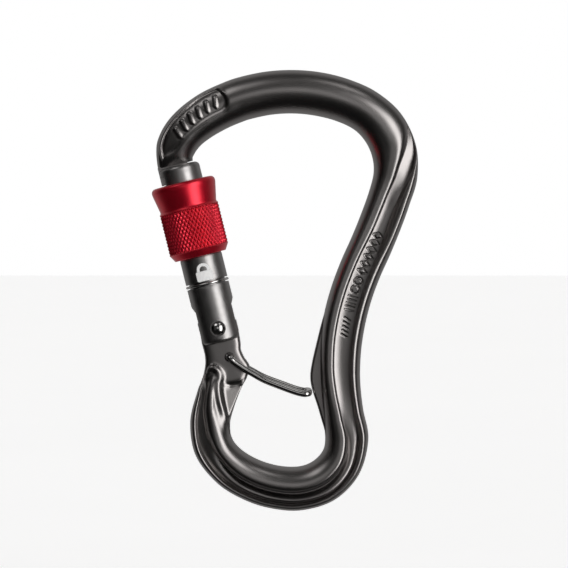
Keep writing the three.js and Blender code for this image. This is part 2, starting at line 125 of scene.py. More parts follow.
KEEPER_LINE = [(-15.39, -67.49), (-12.99, -69.1), (-10.59, -70.49), (-7.38, -72.29), (-3.38, -73.89), (1.01, -75.5), (3.4, -76.1), (4.9, -76.05)]
# the milled panel on the nose, X and Z, and the two ridges that run up into the hinge cheek: X, Z, half thickness, half width
PANEL = [(-34.59, -12.34), (-35.27, -9.07), (-34.07, -5.26), (-31.46, -1.58), (-27.97, 1.72), (-24.51, 4.49), (-21.03, 6.24),
         (-19.64, 6.4), (-17.89, 4.66), (-17.29, 2.59), (-18.08, .84), (-21.03, -.74), (-24.51, -2.97), (-28.49, -6.45),
         (-31.46, -10.1), (-34.05, -11.66)]
RIDGE_A = [(-20.7, -71.1, 3.45, .7), (-21.05, -72.6, 4.0, .9), (-21.5, -74.9, 4.5, 1.15), (-21.7, -78, 4.95, 1.45),
           (-21.6, -80.7, 5.2, 1.7), (-21.1, -83.5, 5.3, 1.9), (-20.1, -87.5, 5.35, 2.1), (-18.4, -91.2, 5.2, 2.1), (-16.6, -93.8, 4.5, 1.9)]
RIDGE_B = [(-22.35, -70.2, 3.1, .55), (-22.0, -69.4, 3.45, .6),
           (-21.25, -68.95, 3.65, .7), (-20.3, -69.45, 3.8, .8), (-19.6, -70.4, 3.9, .85),
           (-19.4, -71.6, 4.05, .95), (-19.75, -73.0, 4.25, 1.0), (-19.8, -75.3, 4.5, 1.1), (-19.4, -78.1, 4.6, 1.2),
           (-18.75, -80.8, 4.4, 1.25), (-18.15, -83.2, 3.8, 1.15), (-17.75, -85.2, 2.9, 1.0), (-17.5, -86.8, 1.8, .8)]


# ------------------------------------------------------------------ geometry helpers
def catmull(P, s):
    """An open Catmull-Rom curve through the rows of P, at station s."""
    P = np.asarray(P, float)
    n = len(P) - 1
    Q = np.vstack([2 * P[0] - P[1], P, 2 * P[n] - P[n - 1]])
    i = np.clip(np.floor(s).astype(int), 0, n - 1)
    w = (s - i)[:, None]
    p0, p1, p2, p3 = Q[i], Q[i + 1], Q[i + 2], Q[i + 3]
    a, b = (p2 - p0) * .5, (p3 - p1) * .5
    return p1 + a * w + (-3 * p1 + 3 * p2 - 2 * a - b) * w ** 2 + (2 * p1 - 2 * p2 + a + b) * w ** 3


def smooth_keys(x, y, at):
    """Monotone cubic through keys (x, y[:, k]) at positions at."""
    h = np.diff(x)[:, None]
    d = np.diff(y, axis=0) / h
    m = np.zeros_like(y)
    m[0], m[-1] = d[0], d[-1]
    same = d[:-1] * d[1:] > 0
    w1, w2 = 2 * h[1:] + h[:-1], h[1:] + 2 * h[:-1]
    with np.errstate(divide="ignore", invalid="ignore"):
        hm = (w1 + w2) / (w1 / d[:-1] + w2 / d[1:])
    m[1:-1] = np.where(same, hm, 0)
    i = np.clip(np.searchsorted(x, at, side="right") - 1, 0, len(x) - 2)
    t = ((at - x[i]) / np.diff(x)[i])[:, None]
    hh = h[i]
    return ((2 * t ** 3 - 3 * t ** 2 + 1) * y[i] + (t ** 3 - 2 * t ** 2 + t) * hh * m[i]
            + (-2 * t ** 3 + 3 * t ** 2) * y[i + 1] + (t ** 3 - t ** 2) * hh * m[i + 1])


def smax(a, b, k):
    h = np.clip(k - np.abs(a - b), 0, None) / k
    return np.maximum(a, b) + h * h * k * .25


def smin(a, b, k):
    return -smax(-a, -b, k)


def step(x, lo, hi):
    t = np.clip((x - lo) / (hi - lo), 0, 1)
    return t * t * (3 - 2 * t)


def segment_field(x, z, line):
    """Distance to a polyline of rows (x, z, values...) and the values at the nearest point."""
    line = np.asarray(line, float)
    best = np.full(x.shape, 1e9)
    vals = [np.zeros(x.shape) for _ in range(line.shape[1] - 2)]
    for a, b in zip(line[:-1], line[1:]):
        d = b[:2] - a[:2]
        f = np.clip(((x - a[0]) * d[0] + (z - a[1]) * d[1]) / (d @ d), 0, 1)
        q = np.hypot(x - a[0] - d[0] * f, z - a[1] - d[1] * f)
        m = q < best
        best = np.where(m, q, best)
        for j in range(len(vals)):
            vals[j] = np.where(m, a[2 + j] + (b[2 + j] - a[2 + j]) * f, vals[j])
    return best, vals


def inside_distance(x, z, poly):
    """How far a point is inside a closed polygon; negative outside."""
    P = np.asarray(poly, float)
    Q = np.roll(P, -1, axis=0)
    d2 = np.full(x.shape, 1e9)
    odd = np.zeros(x.shape, bool)
    for a, b in zip(P, Q):
        d = b - a
        f = np.clip(((x - a[0]) * d[0] + (z - a[1]) * d[1]) / (d @ d), 0, 1)
        d2 = np.minimum(d2, (x - a[0] - d[0] * f) ** 2 + (z - a[1] - d[1] * f) ** 2)
        with np.errstate(divide="ignore", invalid="ignore"):
            cross = ((a[1] > z) != (b[1] > z)) & (x < (b[0] - a[0]) * (z - a[1]) / (b[1] - a[1]) + a[0])
        odd ^= cross
    return np.where(odd, 1, -1) * np.sqrt(d2)


def dense(poly, closed=True, n=8):
    """A smooth line through the points of poly."""
    P = np.asarray(poly, float)
    if closed:
        Q = np.vstack([P[-1], P, P[0], P[1]])
    else:
        Q = np.vstack([2 * P[0] - P[1], P, 2 * P[-1] - P[-2]])
    out = []
    for i in range(1, len(Q) - 2):
        for f in np.arange(n) / n:
            p0, p1, p2, p3 = Q[i - 1], Q[i], Q[i + 1], Q[i + 2]
            out.append(.5 * (2 * p1 + (p2 - p0) * f + (2 * p0 - 5 * p1 + 4 * p2 - p3) * f * f + (3 * p1 - p0 - 3 * p2 + p3) * f ** 3))
    if not closed:
        out.append(P[-1])
    return np.array(out)


def grid_faces(rows, cols, wrap_cols=True, wrap_rows=False, base=0):
    r = np.arange(rows if wrap_rows else rows - 1)
    c = np.arange(cols if wrap_cols else cols - 1)
    R, C = np.meshgrid(r, c, indexing="ij")
    R2, C2 = (R + 1) % rows, (C + 1) % cols
    q = np.stack([R * cols + C, R * cols + C2, R2 * cols + C2, R2 * cols + C], -1).reshape(-1, 4)
    return q + base


def volume(V, F):
    v = 0.0
    for f in F:
        p = V[list(f)]
        for i in range(1, len(f) - 1):
            v += np.dot(p[0], np.cross(p[i], p[i + 1]))
    return v / 6


def quick_volume(V, F):
    """Signed volume of a mesh whose faces may have any number of corners."""
    quads = np.array([f for f in F if len(f) == 4])
    rest = [f for f in F if len(f) != 4]
    total = volume(V, rest)
    if len(quads):
        a, b, c, d = (V[quads[:, i]] for i in range(4))
        total += (np.einsum("ij,ij->", a, np.cross(b, c)) + np.einsum("ij,ij->", a, np.cross(c, d))) / 6
    return total


def add_mesh(name, V, F):
    V = np.asarray(V, float)
    F = [list(map(int, f)) for f in F]
    if quick_volume(V, F) < 0:
        F = [f[::-1] for f in F]
    m = bpy.data.meshes.new(name)
    m.from_pydata((V * MM).tolist(), [], F)
    m.update()
    o = bpy.data.objects.new(name, m)
    bpy.context.scene.collection.objects.link(o)
    return o


def on_gate(V):
    """From the closed gate's own axes (across, through, along) to the row frame."""
    V = np.asarray(V, float)
    c, s = math.cos(TILT), math.sin(TILT)
    return np.stack([PIVOT[0] + V[:, 0] * c - V[:, 2] * s, V[:, 1], PIVOT[1] + V[:, 0] * s + V[:, 2] * c], -1)


def slab_mesh(poly, half, bevel=0.0, seg=4):
    """A polygon of (x, z) with thickness along Y and round edges."""
    P = np.asarray(poly, float)
    area = .5 * np.sum(P[:, 0] * np.roll(P[:, 1], -1) - np.roll(P[:, 0], -1) * P[:, 1])
    if area < 0:
        P = P[::-1]
    e = np.roll(P, -1, 0) - P
    e /= np.linalg.norm(e, axis=1)[:, None]
    n = np.stack([-e[:, 1], e[:, 0]], -1)
    pn = np.roll(n, 1, 0)
    b = n + pn
    b /= np.maximum((b * pn).sum(1), .35)[:, None]
    rings = []
    if bevel > 0:
        phis = np.linspace(0, math.pi / 2, seg + 1)
        for ph in phis:
            rings.append((bevel * (1 - math.sin(ph)), -(half - bevel + bevel * math.cos(ph))))
        rings += [(i, -y) for i, y in rings[::-1]]
    else:
        rings = [(0, -half), (0, half)]
    V = np.vstack([np.column_stack([(P + b * i)[:, 0], np.full(len(P), y), (P + b * i)[:, 1]]) for i, y in rings])
    k = len(P)
    F = grid_faces(len(rings), k).tolist()
    F.append(list(range(k))[::-1])
    F.append([(len(rings) - 1) * k + i for i in range(k)])
    return V, F


def bar_mesh(x, z, r0, r1, y0, y1, seg=64):
    a = np.linspace(0, 2 * math.pi, seg, endpoint=False)
    V = np.vstack([np.column_stack([x + r * np.cos(a), np.full(seg, y), z + r * np.sin(a)]) for r, y in ((r0, y0), (r1, y1))])
    F = grid_faces(2, seg).tolist() + [list(range(seg))[::-1], [seg + i for i in range(seg)]]
    return V, F


def lathe_mesh(profile, seg, closed=False, shape=None):
    """Rings about the local z axis. profile: rows (radius, z). A ring of no radius becomes one point."""
    V, rings = [], []
    a = np.linspace(0, 2 * math.pi, seg, endpoint=False)
    for j, (r, z) in enumerate(profile):
        if r < 1e-6:
            rings.append([len(V)])
            V.append([0, 0, z])
        else:
            rr = np.full(seg, r) if shape is None else shape(a, np.full(seg, r), z, j)
            rings.append(list(range(len(V), len(V) + seg)))
            V += np.column_stack([rr * np.cos(a), rr * np.sin(a), np.full(seg, z)]).tolist()
    F = []
    pairs = list(zip(rings[:-1], rings[1:])) + ([(rings[-1], rings[0])] if closed else [])
    for p, q in pairs:
        for i in range(seg):
            j = (i + 1) % seg
            if len(p) == 1 and len(q) == 1:
                continue
            if len(p) == 1:
                F.append([p[0], q[j], q[i]])
            elif len(q) == 1:
                F.append([p[i], p[j], q[0]])
            else:
                F.append([p[i], p[j], q[j], q[i]])
    return np.array(V), F


def tube_mesh(line, r, sides=20, cap=4):
    """A round wire along a dense line, with round ends."""
    P = np.asarray(line, float)
    t = np.gradient(P, axis=0)
    t /= np.linalg.norm(t, axis=1)[:, None]
    n = np.cross(t[0], [.31, .87, .38])
    n /= np.linalg.norm(n)
    N = [n]
    for i in range(1, len(P)):
        v = N[-1] - t[i] * np.dot(N[-1], t[i])
        N.append(v / np.linalg.norm(v))
    N = np.array(N)
    B = np.cross(t, N)
    a = np.linspace(0, 2 * math.pi, sides, endpoint=False)
    rings = []
    for i in range(cap):
        ph = math.pi / 2 * (i + .35) / cap
        rings.append((P[0] - t[0] * r * .8 * math.cos(ph), N[0], B[0], r * math.sin(ph)))
    rings += [(P[i], N[i], B[i], r) for i in range(len(P))]
    for i in range(cap)[::-1]:
        ph = math.pi / 2 * (i + .35) / cap
        rings.append((P[-1] + t[-1] * r * .8 * math.cos(ph), N[-1], B[-1], r * math.sin(ph)))
    V = np.vstack([c + rr * (np.outer(np.cos(a), n_) + np.outer(np.sin(a), b_)) for c, n_, b_, rr in rings])
    F = grid_faces(len(rings), sides).tolist()
    F.append(list(range(sides))[::-1])
    F.append([(len(rings) - 1) * sides + i for i in range(sides)])
    return V, F


def boolean(obj, other, kind):
    mod = obj.modifiers.new("b", "BOOLEAN")
    mod.operation, mod.object, mod.solver = kind, other, "MANIFOLD"
    dg = bpy.context.evaluated_depsgraph_get()
    dg.update()
    made = bpy.data.meshes.new_from_object(obj.evaluated_get(dg))
    obj.modifiers.clear()
    old = obj.data
    obj.data = made
    bpy.data.meshes.remove(old)
    gone = other.data
    bpy.data.objects.remove(other)
    bpy.data.meshes.remove(gone)
    if not len(made.polygons):
        raise RuntimeError("a boolean left nothing of " + obj.name)


def finish_piece(obj, body, mats, nodes=(), angle=38):
    m = obj.data
    m.materials.clear()
    for mat in mats:
        m.materials.append(mat)
    m.polygons.foreach_set("use_smooth", np.ones(len(m.polygons), bool))
    m.set_sharp_from_angle(angle=math.radians(angle))
    # even out the shading over the small triangles that the cuts leave
    wn = obj.modifiers.new("even_shading", "WEIGHTED_NORMAL")
    wn.mode = "FACE_AREA"
    wn.weight = 60
    wn.keep_sharp = True
    m.update()
    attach(obj, body)
    if nodes:
        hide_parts(*nodes)
    return obj


# ------------------------------------------------------------------ frame
def section(t, s, station):
    """Half thickness at t (0 inner edge, 1 outer edge); t and every column of s are arrays of one shape."""
    crest, end, rib, top, hb, hw, wc, ho, p, q, ws = s
    eps = 1e-9
    u = np.clip((crest - t) / crest, 0, 1)
    bead = hb * np.power(np.clip(1 - np.power(u, p), 0, 1), 1 / p)
    e = q
    w = np.clip((t - crest) / np.maximum(end - crest, eps), 0, 1)
    bead = np.where(t > crest, hb * np.power(np.clip(1 - np.power(w, e), 0, 1), 1 / e), bead)
    m, hwid = (end + rib) / 2, np.maximum(.02, (rib - end) / 2)
    m2 = m + .03 * step(wc, 0, 1.8)
    web = hw + wc * np.clip(1 - ((t - m2) / hwid) ** 2, 0, 1) - ws * (t - m) * 11.0
    web = np.where(end > rib, np.minimum(web, hw), web)
    web = np.where((t > crest) & (t <= top), web, np.where(t > top, web * np.clip((1 - t) / (1 - top), 0, 1), 0))
    web = np.where(t < crest, 0, web)
    o1 = ho * np.sqrt(np.clip(1 - ((t - top) / (1 - top)) ** 2, 0, 1))
    v = np.clip((top - t) / np.maximum(top - rib, eps), 0, 1)
    o2 = ho * np.power(np.clip(1 - np.power(v, 2.3), 0, 1), 1 / 2.3)
    outer = np.where(t > top, o1, o2)
    outer = np.where(t < rib, 0, outer)
    y = np.maximum(bead, outer)
    k = np.minimum(.55, .4 * np.maximum(y, web) + 1e-4)
    return smax(y, web, k)


def frame_loft():
    # stations, finer where there is relief
    s0 = np.linspace(0, SPANS, 8001)
    mid = (catmull(RAIL[:, :2], s0) + catmull(RAIL[:, 2:], s0)) / 2
    ds = np.linalg.norm(np.diff(mid, axis=0), axis=1)
    sm = (s0[1:] + s0[:-1]) / 2
    want = np.full(len(sm), .62)
    want = np.where(sm < 11, .2, want)
    want = np.where((sm > 17.2) & (sm < 20.6), .22, want)
    want = np.where((sm >= 20.6) & (sm < 27.6), .15, want)
    want = np.where(sm > 37, .2, want)
    want = np.where(sm > 42.3, .4, want)
    k = np.ones(61) / 61
    want = np.convolve(np.pad(want, 30, mode="edge"), k, "valid")
    cum = np.concatenate([[0], np.cumsum(ds / want)])
    count = int(round(cum[-1]))
    st = np.interp(np.linspace(0, cum[-1], count + 1), cum, s0)
    outer, inner = catmull(RAIL[:, :2], st), catmull(RAIL[:, 2:], st)
    S = smooth_keys(SECTION[:, 0], SECTION[:, 1:], st)
    crest, end, rib, top = S[:, 0], S[:, 1], S[:, 2], S[:, 3]
    e = np.minimum(end, rib - .03)
    rows = []
    for n, kind, a, b in ((26, "in", 0 * crest, crest), (18, "out", crest, e), (24, "both", e, rib), (12, "in", rib, top), (14, "out", top, 1 + 0 * top)):
        u = np.arange(n) / n
        f = {"in": 1 - np.cos(u * math.pi / 2), "out": np.sin(u * math.pi / 2), "both": (1 - np.cos(u * math.pi)) / 2}[kind]
        rows.append(a[:, None] + (b - a)[:, None] * f[None])
    T = np.hstack(rows + [np.ones((len(st), 1))])
    cols = [S[:, j][:, None] * np.ones_like(T) for j in range(S.shape[1])]
    Y = section(T, cols, st[:, None])
    X = inner[:, :1] + (outer[:, :1] - inner[:, :1]) * T
    Z = inner[:, 1:] + (outer[:, 1:] - inner[:, 1:]) * T
    stm = st[:, None] * np.ones_like(T)
    width = np.linalg.norm(outer - inner, axis=1)[:, None]
    edge = np.minimum(T, 1 - T) * width  # mm from the nearer edge

    # ridges that run up into the hinge cheek
    leg = stm > 35
    for ridge in (RIDGE_A, RIDGE_B):
        d, (h, w) = segment_field(X, Z, dense(ridge, False, 6))
        bump = h - (h - 2.2) * (1 - np.sqrt(np.clip(1 - (d / (w * 1.25)) ** 2, 0, 1)))
        on = leg & (d < w * 1.2)
        Y = np.where(on, smax(Y, np.where(on, bump, 0), .35), Y)
    # relief milled for the keeper's swing
    d = np.hypot(X - KEEPER[0], Z - KEEPER[1])
    db, _ = segment_field(X, Z, dense(RIDGE_B, False, 6))
    zb, xb = [-90, -87.0, -85.2, -83.2, -80.8, -78.1, -75.3, -73.0, -71.6, -70.4, -69.45, -60], [-16.5, -17.1, -17.5, -18.05, -18.75, -19.4, -19.8, -19.75, -19.4, -19.6, -20.3, -20.3]
    right = step(X - np.interp(Z, zb, xb), .05, .7) * (stm > 37)     # only on the inner side of the second ridge
    clear = step(db, .7, 1.45) * right
    mask = step(-(d - POCKET_R), -.3, .5) * clear
    Y = np.where(mask > 0, Y + (np.minimum(Y, CHEEK) - Y) * mask, Y)
    # the flat facet under the cheek, and the shallow scoop between the two
    facet = 3.2 - .165 * (X + 19.2) - .04 * (Z + 77)
    under = step(d, POCKET_R - .5, POCKET_R + .3) * clear * step(Z, -89, -87)
    Y = np.where(under > 0, Y + (smin(Y, np.maximum(facet, .4), .3) - Y) * under, Y)
    scoop = .62 * np.exp(-((d - 7.75) / .62) ** 2) * step(X, -18.1, -16.6) * ((stm > 39) & (T < .7)) * step(edge, .2, 1.2)
    Y = Y - scoop

    # milled panel on the nose, with a row of plain slanted lugs
    dp = inside_distance(X, Z, dense(PANEL, True, 6))
    near = stm < 12
    dp = np.where(near, dp, -9)
    lip = step(T, .62, .82)
    Y = Y - .20 * step(dp, -.62, -.02) * (1 - lip) - .62 * step(dp, -.02, .36)
    Y = Y + .24 * step(dp, -.62, -.34) * (1 - step(dp, -.26, .02)) * lip
    # lugs: slanted rounded bars on the panel's centre line
    ctr = np.array([(-31.2, -6.2), (-29.2, -3.6), (-26.9, -1.3), (-24.4, .6), (-21.8, 2.3), (-19.9, 3.3)])
    lug = np.full(X.shape, 9.0)
    line = dense(ctr, False, 10)
    seg = np.linalg.norm(np.diff(line, axis=0), axis=1)
    cl = np.concatenate([[0], np.cumsum(seg)])
    for c in np.linspace(1.0, cl[-1] - .7, 6):
        px, pz = np.interp(c, cl, line[:, 0]), np.interp(c, cl, line[:, 1])
        qx, qz = np.interp(c + .1, cl, line[:, 0]) - px, np.interp(c + .1, cl, line[:, 1]) - pz
        q = math.hypot(qx, qz)
        tx, tz = qx / q, qz / q
        nx, nz = -tz, tx
        ux, uz = nx * .94 + tx * .34, nz * .94 + tz * .34
        dx, dz = X - px, Z - pz
        f = np.clip(dx * ux + dz * uz, -1.2, 1.2)
        lug = np.minimum(lug, np.hypot(dx - ux * f, dz - uz * f) - .52)
    lug = np.where(near, lug, 9)
    lugs = .36 * step(-lug, -.14, .14) - .10 * step(-np.abs(lug - .27), -.2, -.06)
    Y = Y + lugs * step(dp, .3, .5)

    # the nose slopes in towards the tongue
    v = -(X - PIVOT[0]) * math.sin(TILT) + (Z - PIVOT[1]) * math.cos(TILT)
    Y = np.where(stm < 8, smin(Y, 2.9 + .62 * np.maximum(v - NOSE_FACE, 0), .4), Y)

    # ease the blends where the ridges cross the grid at a slant
    calm = step(stm, 37.2, 38.0) * (1 - step(stm, 43.6, 44.4)) * step(edge, .15, .7)
    for _ in range(3):
        Z1 = Y.copy()
        Z1[1:-1] = (Y[:-2] + 2 * Y[1:-1] + Y[2:]) / 4
        Z1[:, 1:-1] = (Z1[:, :-2] + 2 * Z1[:, 1:-1] + Z1[:, 2:]) / 4
        Y = Y + (Z1 - Y) * calm
    calm = (1 - step(stm, 10.5, 11)) * step(edge, .15, .5) * .8
    for _ in range(2):
        Z1 = Y.copy()
        Z1[1:-1] = (Y[:-2] + 2 * Y[1:-1] + Y[2:]) / 4
        Z1[:, 1:-1] = (Z1[:, :-2] + 2 * Z1[:, 1:-1] + Z1[:, 2:]) / 4
        Y = Y + (Z1 - Y) * calm

    # marks on the web of the spine: lozenges, rings, bars and slanted strokes
    web_on = (stm > 20.6) & (stm < 27.7)
    c_s = np.linspace(21.3, 27.0, 400)
    ci = catmull(RAIL[:, 2:], c_s)
    co = catmull(RAIL[:, :2], c_s)
    Sk = smooth_keys(SECTION[:, 0], SECTION[:, 1:], c_s)
    tm = (Sk[:, 1] + Sk[:, 2]) / 2
    cline = ci + (co - ci) * tm[:, None]
    cl = np.concatenate([[0], np.cumsum(np.linalg.norm(np.diff(cline, axis=0), axis=1))])
    best = np.full(X.shape, 9.0)
    A = np.zeros_like(X)
    B = np.zeros_like(X)
    sel = np.where(web_on)
    xs, zs = X[sel], Z[sel]
    dd = np.full(xs.shape, 1e9)
    aa, bb = np.zeros_like(xs), np.zeros_like(xs)
    for i in range(0, len(cline) - 1):
        p, q = cline[i], cline[i + 1]
        v = q - p
        L = math.hypot(*v)
        v = v / L
        f = np.clip((xs - p[0]) * v[0] + (zs - p[1]) * v[1], 0, L)
        ex, ez = xs - p[0] - v[0] * f, zs - p[1] - v[1] * f
        r2 = ex * ex + ez * ez
        m = r2 < dd
        dd = np.where(m, r2, dd)
        aa = np.where(m, cl[i] + f, aa)
        bb = np.where(m, -ex * v[1] + ez * v[0], bb)
    total = cl[-1]
    g = np.full(xs.shape, 9.0)  # distance to the centre line of the mark strokes

    def bar(a0, b0, a1, b1):
        nonlocal g
        dx, dz = a1 - a0, b1 - b0
        f = np.clip(((aa - a0) * dx + (bb - b0) * dz) / (dx * dx + dz * dz), 0, 1)
        g = np.minimum(g, np.hypot(aa - a0 - dx * f, bb - b0 - dz * f))

    def ring(a0, b0, r):
        nonlocal g
        g = np.minimum(g, np.abs(np.hypot(aa - a0, bb - b0) - r))

    a = 1.5
    for i in range(6):          # six outlined lozenges
        bar(a - .85, 0, a, 1.3), bar(a, 1.3, a + .85, 0), bar(a + .85, 0, a, -1.3), bar(a, -1.3, a - .85, 0)
        a += 2.1
    a += .9
    ring(a, 0, 1.05), ring(a + 2.3, 0, 1.05)   # two rings
    a += 4.4
    for i in range(5):          # five bars
        bar(a, -1.2, a, 1.2)
        a += .95
    a += 1.2
    for i in range(5):          # five slanted strokes
        bar(a, -.8, a + .7, .8)
        a += 1.15
    cut = np.zeros_like(X)
    cut[sel] = .26 * (1 - step(g, .10, .30))
    inside = np.where(web_on, np.minimum(T - end[:, None], rib[:, None] - T) * width, 0)
    Y = Y - cut * step(inside, .1, .35)

    Y = np.where((T <= 0) | (T >= 1), 0, np.maximum(Y, .002))
    n = T.shape[1]
    front = np.stack([X, -Y, Z], -1)
    back = np.stack([X, Y, Z], -1)[:, 1:-1][:, ::-1]
    V = np.concatenate([front, back], 1)
    rowsn, around = V.shape[0], V.shape[1]
    F = grid_faces(rowsn, around).tolist()
    for base, flip in ((0, False), ((rowsn - 1) * around, True)):
        for j in range(n - 1):
            f0, f1 = j, j + 1
            b0, b1 = (around - j) % around, around - j - 1
            if j == 0:
                f = [f0, b1, f1]
            elif j == n - 2:
                f = [f0, b0, f1]
            else:
                f = [f0, b0, b1, f1]
            f = [base + i for i in f]
            F.append(f[::-1] if flip else f)
    V = V.reshape(-1, 3)
    return V, F


def arc(r, u0, u1, n):
    return [(u, math.sqrt(r * r - u * u)) for u in np.linspace(u0, u1, n + 1)]


def make_frame():
    V, F = frame_loft()
    body = add_mesh("frame_body", V, F)
    V, F = slab_mesh(LUG, CHEEK, .9, 6)
    boolean(body, add_mesh("lug", on_gate(V), F), "UNION")
    V, F = slab_mesh(dense(FIN[:-3], False, 3).tolist() + FIN[-3:], FIN_HALF, .7, 5)
    boolean(body, add_mesh("fin", V, F), "UNION")
    neck = arc(TONGUE_R0 + .6, -7, TONGUE_END, 10) + [(TONGUE_END, NOSE_FACE + .25), (-7, NOSE_FACE + .25)]
    head = arc(TONGUE_R0, -7, TONGUE_END, 10) + arc(TONGUE_NECK_R, TONGUE_END, -7, 10)
    V, F = slab_mesh(neck, TONGUE_NECK_HALF)
    tongue = add_mesh("neck", on_gate(V), F)
    V, F = slab_mesh(head, TONGUE_HEAD_HALF)
    boolean(tongue, add_mesh("head", on_gate(V), F), "UNION")
    V, F = lathe_mesh([(0, 38), (R_TOP - .05, 38), (R_TOP - .05, 47), (0, 47)], 96)
    boolean(tongue, add_mesh("round", on_gate(V), F), "INTERSECT")
    boolean(body, tongue, "UNION")
    V, F = bar_mesh(PIVOT[0], PIVOT[1], 1.75, 1.75, -8, 8)
    boolean(body, add_mesh("bore", V, F), "DIFFERENCE")
    V, F = bar_mesh(KEEPER[0], KEEPER[1], .9, .9, -8, 8)
    boolean(body, add_mesh("eye", V, F), "DIFFERENCE")
    for s in (-1, 1):
        ys = (2.3, 3.2)
        r = (1.0, 1.55)
        V, F = bar_mesh(KEEPER[0], KEEPER[1], r[0] if s > 0 else r[1], r[1] if s > 0 else r[0], ys[0] if s > 0 else -ys[1], ys[1] if s > 0 else -ys[0])
        boolean(body, add_mesh("sink", V, F), "DIFFERENCE")
    return body


# ------------------------------------------------------------------ gate
def make_barrel():
    R, T = R_LOW, R_TOP
    prof = [(0, BORE_END), (BORE_R, BORE_END - .8), (BORE_R, BARREL_BOTTOM + .2), (BORE_R + .2, BARREL_BOTTOM), (R - 1.0, BARREL_BOTTOM)]
    prof += [(R - 1.0 + 1.0 * math.sin(p), BARREL_BOTTOM + 1.0 * (1 - math.cos(p))) for p in np.linspace(.2, math.pi / 2, 7)]
    g = .09
    prof += [(R, z) for z in np.arange(BARREL_BOTTOM + 2, RING_POS - .9, .8)]
    prof += [(R, RING_POS - .65 - g), (R - g * .3, RING_POS - .65 - g * .3), (R - g, RING_POS - .65), (4.95, RING_POS - .65), (4.95, RING_POS + .65),
             (R - g, RING_POS + .65), (R - g * .3, RING_POS + .65 + g * .3), (R, RING_POS + .65 + g)]
    prof += [(R, z) for z in np.arange(RING_POS + 1.3, 19.5, .8)] + [(R, 19.7), (T, 20.0), (T, 21.9)]
    prof += [(T, z) for z in np.arange(22.0, 37.4, .09)]
    prof += [(T, z) for z in np.arange(38, BARREL_TOP - 1.5, .7)]
    rt = 1.25
    prof += [(T - rt + rt * math.cos(p), BARREL_TOP - rt + rt * math.sin(p)) for p in np.linspace(0, math.pi / 2, 12)]
    prof += [(3.0, BARREL_TOP), (0, BARREL_TOP)]

    def thread(a, r, z, j):
        if not 22.0 <= z <= 37.4:
            return r
        ph = (z / 1.0 - a / (2 * math.pi)) % 1.0
        tri = 1 - np.abs(2 * ph - 1)
        fade = min(1.0, (z - 22.0) / .9, (37.4 - z) / .9)
        return r - .34 * np.clip(tri * 1.5 - .35, 0, 1) * max(0.0, fade)

    V, F = lathe_mesh(prof, 160, shape=thread)
    body = add_mesh("barrel", on_gate(V), F)
    root = [(7.2, 9.9), (6.1, 7.9), (5.75, 7.15), (5.5, 6.55), (5.25, 6.05), (5.05, 5.65), (4.8, 5.3), (4.4, 5.2)]
    slot = [(-7.2, -7), (7.2, -7)] + root + [(-u, v) for u, v in root[::-1]]
    V, F = slab_mesh(slot, SLOT_HALF)
    boolean(body, add_mesh("slot", on_gate(V), F), "DIFFERENCE")
    end = TONGUE_END + PLAY
    V, F = slab_mesh(arc(TONGUE_R0 - PLAY, -8, end, 12) + [(end, 48), (-8, 48)], TONGUE_NECK_HALF + PLAY)
    boolean(body, add_mesh("neck_slot", on_gate(V), F), "DIFFERENCE")
    V, F = slab_mesh(arc(TONGUE_R0 - PLAY, -8, end, 12) + arc(TONGUE_NECK_R + PLAY, end, -8, 12), TONGUE_HEAD_HALF + PLAY)
    boolean(body, add_mesh("head_slot", on_gate(V), F), "DIFFERENCE")
    V, F = bar_mesh(0, 0, 1.7, 1.7, -8, 8)
    boolean(body, add_mesh("pin_hole", on_gate(V), F), "DIFFERENCE")
    for s in (-1, 1):
        V, F = bar_mesh(0, 0, 2.1 if s > 0 else 2.25, 2.25 if s > 0 else 2.1, 4.85 if s > 0 else -8, 8 if s > 0 else -4.85)
        boolean(body, add_mesh("sink", on_gate(V), F), "DIFFERENCE")
    return body


def make_rivet():
    h = 1.84
    half = [(1.45, 0.0), (1.45, 5.12), (h - .12, 5.12), (h, 5.22), (h, 5.42)]
    R = 2.35
    zc = 6.32 - R
    a0 = math.asin((h - .06) / R)
    half += [(R * math.sin(p), zc + R * math.cos(p)) for p in np.linspace(a0, 0, 16)]
    half[-1] = (0, zc + R)
    prof = [(r, -z) for r, z in half[::-1]][:-1] + half
    V, F = lathe_mesh(prof, 72)
    V = np.stack([V[:, 0], V[:, 2], -V[:, 1]], -1)
    return add_mesh("rivet", on_gate(V), F)


